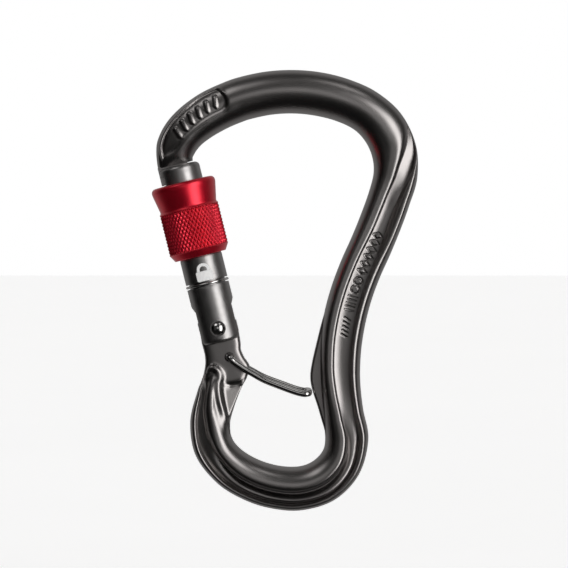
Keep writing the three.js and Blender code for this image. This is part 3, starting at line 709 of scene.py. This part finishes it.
def make_sleeve():
    n = 48
    per = 12
    seg = n * per
    k0, k1 = 21.98, 33.35
    tiers = 6
    rows = tiers * per
    knurl = np.linspace(k0, k1, rows + 1)
    prof = [(6.25, SLEEVE_BOTTOM, 0), (6.9, SLEEVE_BOTTOM, 0), (7.05, SLEEVE_BOTTOM + .06, 0), (7.16, SLEEVE_BOTTOM + .2, 0),
            (7.55, SLEEVE_BOTTOM + .85, 0), (7.95, SLEEVE_BOTTOM + 1.5, 0), (8.1, SLEEVE_BOTTOM + 1.78, 0)]
    prof += [(8.17, z, 1) for z in knurl]
    prof += [(8.12, 33.42, 0), (7.98, 33.6, 0), (7.86, 33.78, 0), (7.82, 33.98, 0), (7.84, 34.2, 0), (7.9, 34.5, 0)]
    prof += [(7.9 + (8.74 - 7.9) * f, 34.5 + (38.7 - 34.5) * f, 0) for f in np.linspace(.12, 1, 10)]
    c, zc = 7.72, 39.55
    prof += [(8.82, 39.2, 0)] + [(c + 1.1 * math.cos(p), zc + 1.15 * math.sin(p), 0) for p in np.linspace(.12, math.pi / 2, 12)]
    prof += [(7.1, SLEEVE_TOP, 0), (6.45, SLEEVE_TOP, 0), (6.25, SLEEVE_TOP - .06, 0), (6.05, SLEEVE_TOP - .25, 0), (SLEEVE_BORE, SLEEVE_TOP - .5, 0),
             (SLEEVE_BORE, 30, 0), (SLEEVE_BORE, SLEEVE_BOTTOM + .3, 0), (6.08, SLEEVE_BOTTOM + .08, 0)]
    flags = [f for _, _, f in prof]

    def shape(a, r, z, j):
        if not flags[j]:
            return r
        q = (z - k0) / (k1 - k0) * tiers
        p1 = (a / (2 * math.pi) * n + q) % 1.0
        p2 = (a / (2 * math.pi) * n - q) % 1.0
        tri1, tri2 = np.abs(2 * p1 - 1), np.abs(2 * p2 - 1)
        d = np.minimum(1 - tri1, 1 - tri2)      # 0 in the grooves
        d = np.clip(d * 1.2, 0, 1)
        fade = min(1.0, (z - k0) / .35, (k1 - z) / .35)
        return r - .40 * (1 - d) * max(0.0, fade)

    V, F = lathe_mesh([(r, z) for r, z, _ in prof], seg, closed=True, shape=shape)
    return add_mesh("sleeve", on_gate(V), F)


def make_ring():
    a = math.pi / 2 + math.radians(14) + np.linspace(0, 1, 181) * math.radians(332)
    P = np.stack([RING_R * np.cos(a), RING_R * np.sin(a), np.full(len(a), RING_POS)], -1)
    V, F = tube_mesh(P, RING_WIRE, 20)
    return add_mesh("stop_ring", on_gate(V), F)


def make_spring():
    n = 8 * 40
    f = np.linspace(0, 1, n + 1)
    z0, z1 = 10.1, 20.7
    g = f + .0
    a = 2 * math.pi * 8 * g
    P = np.stack([1.8 * np.cos(a), 1.8 * np.sin(a), z0 + (z1 - z0) * f], -1)
    V, F = tube_mesh(P, .3, 14)
    return add_mesh("spring", on_gate(V), F)


def make_plunger():
    V, F = lathe_mesh([(0, 3.3), (1.1, 3.3), (1.35, 3.38), (2.15, 3.9), (2.28, 4.05), (2.3, 4.3), (2.3, 9.1), (2.22, 9.32), (2.0, 9.4), (0, 9.4)], 64)
    return add_mesh("plunger", on_gate(V), F)


def make_keeper():
    kx, kz = KEEPER
    line = dense(KEEPER_LINE[:-1], False, 6)

    def side(y):
        pts = [(kx, y * .42, kz), (kx, y * .60, kz), (kx, y * .76, kz), (kx + .08, y * .90, kz - .08), (kx + .32, y * .97, kz - .32), (kx + .75, y, kz - .75)]
        return pts + [(x, y, z) for x, z in KEEPER_LINE[:-1]]
    tx, tz = KEEPER_LINE[-1]
    y = KEEPER_LEG_Y
    pts = side(-y) + [(tx - .55, -y * .955, tz), (tx - .16, -y * .80, tz + .03), (tx, -y * .55, tz + .08), (tx, -y * .2, tz + .08), (tx, y * .2, tz + .08),
                      (tx, y * .55, tz + .08), (tx - .16, y * .80, tz + .03), (tx - .55, y * .955, tz)] + side(y)[::-1]
    P = dense(pts, False, 8)
    seg = np.linalg.norm(np.diff(P, axis=0), axis=1)
    c = np.concatenate([[0], np.cumsum(seg)])
    s = np.linspace(0, c[-1], 420)
    P = np.stack([np.interp(s, c, P[:, i]) for i in range(3)], -1)
    for _ in range(3):
        P[1:-1] = (P[:-2] + 2 * P[1:-1] + P[2:]) / 4
    # the legs are sprung a little apart, the back one higher, which is what snaps the keeper shut
    out = np.clip((P[:, 0] - kx - .6) / 14, 0, 1)
    P[:, 2] += .42 * np.sqrt(out) * step(P[:, 1], -4.2, 4.2)
    V, F = tube_mesh(P, KEEPER_WIRE + .05, 28, 5)
    return add_mesh("keeper", V, F)


def make_padlock():
    """A printed padlock pictogram wrapped on the barrel, 0.02 mm thick."""
    V, F = [], []
    r0, r1 = R_LOW - .03, R_LOW + .02

    def sheet(P, rows, cols):
        """P: rows x cols points (arc, v)."""
        base = len(V)
        for r in (r1, r0):
            for s_, v in P:
                a = -math.pi / 2 + s_ / R_LOW
                V.append([r * math.cos(a), r * math.sin(a), v])
        k = rows * cols
        for i in range(rows - 1):
            for j in range(cols - 1):
                q = [i * cols + j, i * cols + j + 1, (i + 1) * cols + j + 1, (i + 1) * cols + j]
                F.append([base + x for x in q])
                F.append([base + k + x for x in q[::-1]])
        loop = [j for j in range(cols)] + [i * cols + cols - 1 for i in range(1, rows)] + \
               [(rows - 1) * cols + j for j in range(cols - 2, -1, -1)] + [i * cols for i in range(rows - 2, 0, -1)]
        for a_, b_ in zip(loop, loop[1:] + loop[:1]):
            F.append([base + b_, base + a_, base + k + a_, base + k + b_])

    hw, v0, v1 = 2.3, 13.35, 16.05
    rows, cols = 12, 24
    P = []
    for v in np.linspace(v0, v1, rows):
        c = .28
        inset = 0.0
        if v < v0 + c:
            inset = c - math.sqrt(max(0, c * c - (v0 + c - v) ** 2))
        if v > v1 - c:
            inset = c - math.sqrt(max(0, c * c - (v - v1 + c) ** 2))
        P += [((hw - inset) * f, v) for f in np.linspace(-1, 1, cols)]
    sheet(P, rows, cols)
    ro, ri = 1.78, .98
    P = []
    path = [(-1, v) for v in np.linspace(16.07, 16.4, 3)[:-1]]
    n = 26
    for v in np.linspace(16.07, 16.38, 3):
        P += [(-rr, v) for rr in np.linspace(ri, ro, 4)]
    for a in np.linspace(math.pi, 0, n)[0:]:
        P += [(rr * math.cos(a), 16.4 + rr * math.sin(a)) for rr in np.linspace(ri, ro, 4)]
    for v in np.linspace(16.38, 16.07, 3):
        P += [(rr, v) for rr in np.linspace(ri, ro, 4)]
    sheet(P, n + 6, 4)
    return add_mesh("padlock_mark", on_gate(np.array(V)), F)


# ------------------------------------------------------------------ materials
def new_material(name):
    m = bpy.data.materials.new(name)
    m.use_nodes = True
    nt = m.node_tree
    return m, nt, nt.nodes["Principled BSDF"] if "Principled BSDF" in nt.nodes else nt.nodes.new("ShaderNodeBsdfPrincipled")


def noise(nt, scale, detail=3, rough=.5, stretch=None, coords=None):
    co = coords or nt.nodes.new("ShaderNodeTexCoord").outputs["Object"]
    if stretch:
        mp = nt.nodes.new("ShaderNodeMapping")
        mp.inputs["Scale"].default_value = stretch[:3]
        if len(stretch) > 3:
            mp.inputs["Rotation"].default_value = (0, stretch[3], 0)
        nt.links.new(co, mp.inputs["Vector"])
        co = mp.outputs["Vector"]
    n = nt.nodes.new("ShaderNodeTexNoise")
    n.inputs["Scale"].default_value = scale
    n.inputs["Detail"].default_value = detail
    n.inputs["Roughness"].default_value = rough
    nt.links.new(co, n.inputs["Vector"])
    return n.outputs["Fac"]


def remap(nt, value, a, b, c, d, smooth=False):
    r = nt.nodes.new("ShaderNodeMapRange")
    if smooth:
        r.interpolation_type = "SMOOTHSTEP"
    for key, x in zip(("From Min", "From Max", "To Min", "To Max"), (a, b, c, d)):
        r.inputs[key].default_value = x
    nt.links.new(value, r.inputs["Value"])
    return r.outputs["Result"]


def mix(nt, fac, a, b, kind="MIX"):
    m = nt.nodes.new("ShaderNodeMix")
    m.data_type = "RGBA"
    m.blend_type = kind
    nt.links.new(fac, m.inputs["Factor"]) if not isinstance(fac, float) else setattr(m.inputs["Factor"], "default_value", fac)
    for key, x in (("A", a), ("B", b)):
        sock = [s for s in m.inputs if s.name == key and s.type == "RGBA"][0]
        if isinstance(x, tuple):
            sock.default_value = (*x, 1)
        else:
            nt.links.new(x, sock)
    return [s for s in m.outputs if s.type == "RGBA"][0]


def math_node(nt, op, a, b=0.0):
    m = nt.nodes.new("ShaderNodeMath")
    m.operation = op
    for i, x in enumerate((a, b)):
        if isinstance(x, (int, float)):
            m.inputs[i].default_value = x
        else:
            nt.links.new(x, m.inputs[i])
    return m.outputs[0]


def bump(nt, height, strength, distance, under=None):
    b = nt.nodes.new("ShaderNodeBump")
    b.inputs["Strength"].default_value = strength
    b.inputs["Distance"].default_value = distance
    nt.links.new(height, b.inputs["Height"])
    if under is not None:
        nt.links.new(under, b.inputs["Normal"])
    return b.outputs["Normal"]


def metal(name, base, dark, worn, rough, grain=4200, grain_bump=.10, grain_depth=.000012, wear=.25, spread=.05, scratch=None, coat=0.0, metallic=1.0):
    """Satin metal: blasted grain, faint cloudiness, handling marks in the gloss, and lighter edges."""
    m, nt, p = new_material(name)
    cloud = noise(nt, 95, 4, .55)
    speck = noise(nt, grain, 2, .6)
    rub = noise(nt, 520, 5, .65)
    colour = mix(nt, remap(nt, cloud, .35, .65, 0, 1, True), dark, base)
    colour = mix(nt, remap(nt, speck, .3, .7, 0, .35), colour, tuple(min(1, c * 1.25) for c in base))
    geo = nt.nodes.new("ShaderNodeNewGeometry")
    edge = remap(nt, geo.outputs["Pointiness"], .515, .60, 0, 1, True)
    edge = math_node(nt, "MULTIPLY", edge, remap(nt, rub, .38, .62, .15, 1, True))
    edge = math_node(nt, "MULTIPLY", edge, wear)
    colour = mix(nt, edge, colour, worn)
    nt.links.new(colour, p.inputs["Base Color"])
    p.inputs["Metallic"].default_value = metallic
    r = remap(nt, rub, .3, .7, rough - spread, rough + spread)
    r = math_node(nt, "ADD", r, remap(nt, speck, .3, .7, -.02, .03))
    normal = bump(nt, speck, grain_bump, grain_depth)
    if scratch:
        s = noise(nt, scratch[0], 2, .5, scratch[1])
        line = remap(nt, s, .60, .68, 0, 1, True)
        r = math_node(nt, "ADD", r, math_node(nt, "MULTIPLY", line, .08))
        normal = bump(nt, s, scratch[2], .000006, normal)
    nt.links.new(r, p.inputs["Roughness"])
    nt.links.new(normal, p.inputs["Normal"])
    if coat:
        p.inputs["Coat Weight"].default_value = coat
        p.inputs["Coat Roughness"].default_value = .30
    return m


GUN = metal("gunmetal_satin", (.305, .290, .285), (.285, .271, .266), (.50, .49, .48), .31, grain_bump=.05, wear=.15, spread=.012)
BARREL = metal("gunmetal_turned", (.36, .35, .345), (.33, .32, .316), (.55, .54, .53), .36, grain_bump=.05, wear=.2, scratch=(260, (1, 1, 14, TILT), .02))
RED = metal("red_anodised", (.80, .004, .030), (.70, .003, .024), (.86, .05, .10), .42, grain=5200, grain_bump=.05, wear=.25, coat=.75, metallic=.93)
STEEL = metal("polished_steel", (.62, .61, .60), (.55, .54, .53), (.8, .8, .8), .15, grain=6000, grain_bump=.04, wear=.3, spread=.04)
WIRE = metal("keeper_wire", (.55, .54, .53), (.47, .46, .45), (.70, .69, .68), .14, grain=6000, grain_bump=.05, wear=.3, spread=.05)
SPRING = metal("spring_wire", (.50, .49, .47), (.44, .43, .41), (.65, .64, .62), .26, grain=6000, grain_bump=.05)


def ink():
    m, nt, p = new_material("white_ink")
    cloud, fine = noise(nt, 900, 4, .6), noise(nt, 7000, 2, .6)
    nt.links.new(mix(nt, remap(nt, cloud, .3, .7, 0, 1, True), (.80, .80, .80), (.90, .90, .89)), p.inputs["Base Color"])
    nt.links.new(remap(nt, fine, .3, .7, .38, .58), p.inputs["Roughness"])
    nt.links.new(bump(nt, fine, .12, .00001), p.inputs["Normal"])
    return m


INK = ink()

# ------------------------------------------------------------------ pieces
finish_piece(make_frame(), "frame", [GUN], ["frame"], 34)
finish_piece(make_barrel(), "gate", [BARREL], ["gate_barrel"], 34)
finish_piece(make_rivet(), "gate", [STEEL], ["hinge_rivet"], 40)
finish_piece(make_ring(), "gate", [STEEL], ["sleeve_stop_ring"], 50)
spring = finish_piece(make_spring(), "gate", [SPRING], ["gate_spring"], 50)
finish_piece(make_plunger(), "plunger", [STEEL], ["spring_plunger"], 40)
finish_piece(make_sleeve(), "sleeve", [RED], ["locking_sleeve"], 60)
finish_piece(make_keeper(), "keeper", [WIRE], ["wire_keeper"], 60)
finish_piece(make_padlock(), "gate", [INK], (), 40)
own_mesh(spring)

# ------------------------------------------------------------------ floor, light and camera
m, nt, p = new_material("studio_floor")
soft = noise(nt, 6, 3, .5)
nt.links.new(mix(nt, remap(nt, soft, .3, .7, 0, 1), (.90, .90, .90), (.93, .93, .93)), p.inputs["Base Color"])
p.inputs["Roughness"].default_value = .8
p.inputs["Emission Color"].default_value = (1, 1, 1, 1)
p.inputs["Emission Strength"].default_value = .63
size = 6.0
fm = bpy.data.meshes.new("floor")
fm.from_pydata([(-size, -size, -.150), (size, -size, -.150), (size, size, -.150), (-size, size, -.150)], [], [(0, 1, 2, 3)])
fm.materials.append(m)
floor = bpy.data.objects.new("floor", fm)
bpy.context.scene.collection.objects.link(floor)
floor.visible_glossy = False


def studio():
    """A soft studio: white cyclorama behind, a large soft box on the right, a small one high on the left, dark room in front and below."""
    w = bpy.data.worlds.new("studio")
    bpy.context.scene.world = w
    w.use_nodes = True
    nt = w.node_tree
    nt.nodes.clear()
    out = nt.nodes.new("ShaderNodeOutputWorld")
    d = nt.nodes.new("ShaderNodeTexCoord").outputs["Generated"]

    def dot(v):
        n = nt.nodes.new("ShaderNodeVectorMath")
        n.operation = "DOT_PRODUCT"
        nt.links.new(d, n.inputs[0])
        n.inputs[1].default_value = v
        return n.outputs["Value"]

    def M(op, a, b=0.0):
        return math_node(nt, op, a, b)

    def sm(v, a, b):
        return remap(nt, v, a, b, 0, 1, True)

    def box(az, el, hw, hh, soft, power):
        a, e = math.radians(az), math.radians(el)
        c = (math.sin(a) * math.cos(e), -math.cos(a) * math.cos(e), math.sin(e))
        r = (math.cos(a), math.sin(a), 0)
        u = (-math.sin(a) * math.sin(e), math.cos(a) * math.sin(e), math.cos(e))
        dc = M("MAXIMUM", dot(c), .02)
        x = M("ABSOLUTE", M("DIVIDE", dot(r), dc))
        y = M("ABSOLUTE", M("DIVIDE", dot(u), dc))
        one = M("SUBTRACT", 1.0, sm(x, hw - soft, hw + soft))
        two = M("SUBTRACT", 1.0, sm(y, hh - soft, hh + soft))
        on = M("MULTIPLY", M("MULTIPLY", one, two), sm(dot(c), .03, .08))
        return M("MULTIPLY", on, power)

    dy, dz = dot((0, 1, 0)), dot((0, 0, 1))
    low = M("MULTIPLY", M("MAXIMUM", M("MULTIPLY", dz, -1.0), 0.0), .12)
    back = M("MULTIPLY", sm(M("ADD", dy, low), .08, .55), .32)
    high = M("MULTIPLY", sm(dz, .3, .85), .055)
    total = M("ADD", back, high)
    total = M("ADD", total, M("MULTIPLY", low, .12))
    total = M("ADD", total, box(0, 8, .22, .14, .20, .85))      # the wall over the camera
    total = M("ADD", total, box(-36, 2, .25, .4, .25, .055))    # a little fill from the left
    total = M("ADD", total, box(41, 4, .28, .60, .15, 3.6))     # soft box on the right
    total = M("ADD", total, box(-42, 48, .22, .22, .14, 1.5))   # soft box high on the left
    total = M("ADD", total, box(42, 62, .12, .10, .07, 1.7))    # strip over the right shoulder
    lit = nt.nodes.new("ShaderNodeBackground")
    nt.links.new(total, lit.inputs["Strength"])
    lit.inputs["Color"].default_value = (1.0, .992, .985, 1)
    white = nt.nodes.new("ShaderNodeBackground")
    white.inputs["Color"].default_value = (1, 1, 1, 1)
    white.inputs["Strength"].default_value = 1.0
    path = nt.nodes.new("ShaderNodeLightPath")
    mx = nt.nodes.new("ShaderNodeMixShader")
    nt.links.new(path.outputs["Is Camera Ray"], mx.inputs[0])
    nt.links.new(lit.outputs[0], mx.inputs[1])
    nt.links.new(white.outputs[0], mx.inputs[2])
    nt.links.new(mx.outputs[0], out.inputs["Surface"])


studio()

cam = bpy.data.cameras.new("camera")
camera = bpy.data.objects.new("camera", cam)
bpy.context.scene.collection.objects.link(camera)
DIST, WIDTH, ELEV = .70, .15470, math.radians(1.2)
target = (-.00191, 0.0, -.04638)
cam.sensor_width = 36
cam.lens = 36 * DIST / WIDTH
cam.clip_start, cam.clip_end = .01, 50
camera.location = (target[0], target[1] - DIST * math.cos(ELEV), target[2] + DIST * math.sin(ELEV))
camera.rotation_euler = (math.pi / 2 - ELEV, 0, 0)
bpy.context.scene.camera = camera
bpy.context.scene.view_settings.view_transform = "Standard"
bpy.context.scene.view_settings.look = "None"
